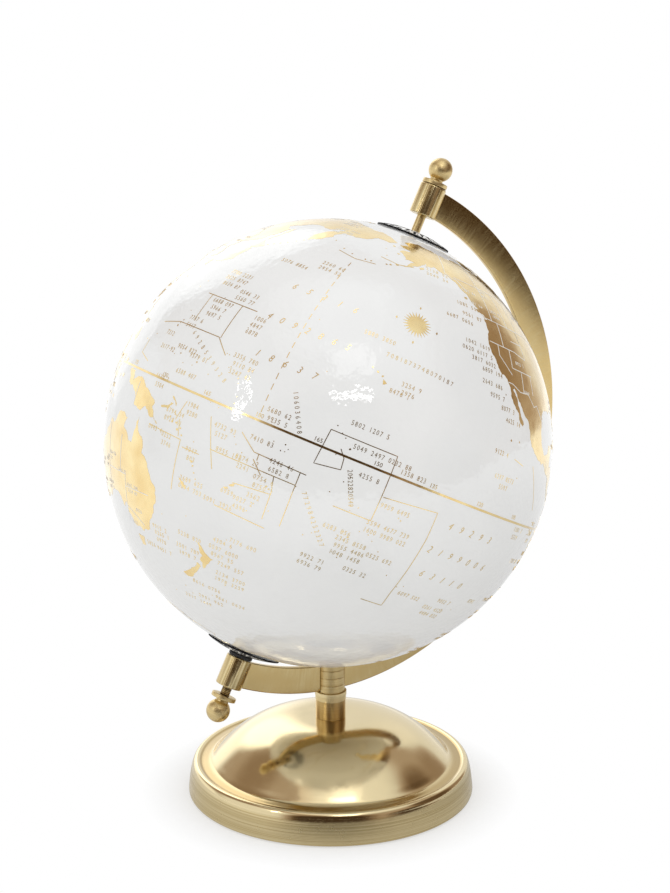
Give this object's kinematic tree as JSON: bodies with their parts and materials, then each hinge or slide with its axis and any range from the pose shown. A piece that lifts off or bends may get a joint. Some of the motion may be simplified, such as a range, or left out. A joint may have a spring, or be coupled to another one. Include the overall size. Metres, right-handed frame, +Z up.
{
  "type": "desk globe",
  "caption": "World globe: a gloss white ball with gilt land turns on a tilted axle in a brass half-ring on a domed round base.",
  "frame": {"origin": "centre of the felt underside that the globe stands on, on the stem axis", "axes": "+Z up along the stem; the half-ring lies in the XZ plane and bows towards +X; the ball's north pole leans towards +X"},
  "size_m": [0.2213, 0.2, 0.2901],
  "materials": {
    "polished_brass": "mirror polished and lacquered",
    "satin_brass": "brushed and lacquered",
    "turned_brass": "turned, lightly browned",
    "plated_steel": "zinc plated",
    "globe_shell": "gloss white with gilt print under lacquer",
    "dial_plate": "white with black printed ring and figures",
    "black_plastic": "moulded",
    "black_rubber": "moulded",
    "grey_board": "pressed card",
    "fibreboard": "hardboard",
    "felt": "pressed wool felt"
  },
  "bodies": {
    "stand": {"base_dome": "polished_brass", "bottom_plate": "fibreboard", "felt_pad": "felt", "base_washer": "plated_steel", "base_nut": "plated_steel", "stem_rod": "plated_steel", "stem_collar": "turned_brass", "ring_ferrule": "turned_brass", "half_ring": "satin_brass", "upper_barrel": "polished_brass", "lower_barrel": "polished_brass", "axle_rod": "satin_brass", "upper_finial": "turned_brass", "lower_finial": "turned_brass", "lower_spacer": "black_rubber"},
    "globe": {"north_hemisphere": "globe_shell", "south_hemisphere": "globe_shell", "seam_ring": "grey_board", "north_bush": "black_plastic", "south_bush": "black_plastic"},
    "north_dial": {"north_hour_dial": "dial_plate"},
    "south_dial": {"south_hour_dial": "dial_plate"}
  },
  "joints": [
    {"name": "globe_spin", "type": "hinge", "parent": "stand", "child": "globe", "pos_m": [-0.00132, 0, 0.1663], "axis": [0.4384, 0, 0.8988], "continuous": true},
    {"name": "north_dial_turn", "type": "hinge", "parent": "globe", "child": "north_dial", "pos_m": [0.04274, 0, 0.25663], "axis": [0.4384, 0, 0.8988], "continuous": true},
    {"name": "south_dial_turn", "type": "hinge", "parent": "stand", "child": "south_dial", "pos_m": [-0.04568, 0, 0.07535], "axis": [0.4384, 0, 0.8988], "continuous": true}
  ]
}
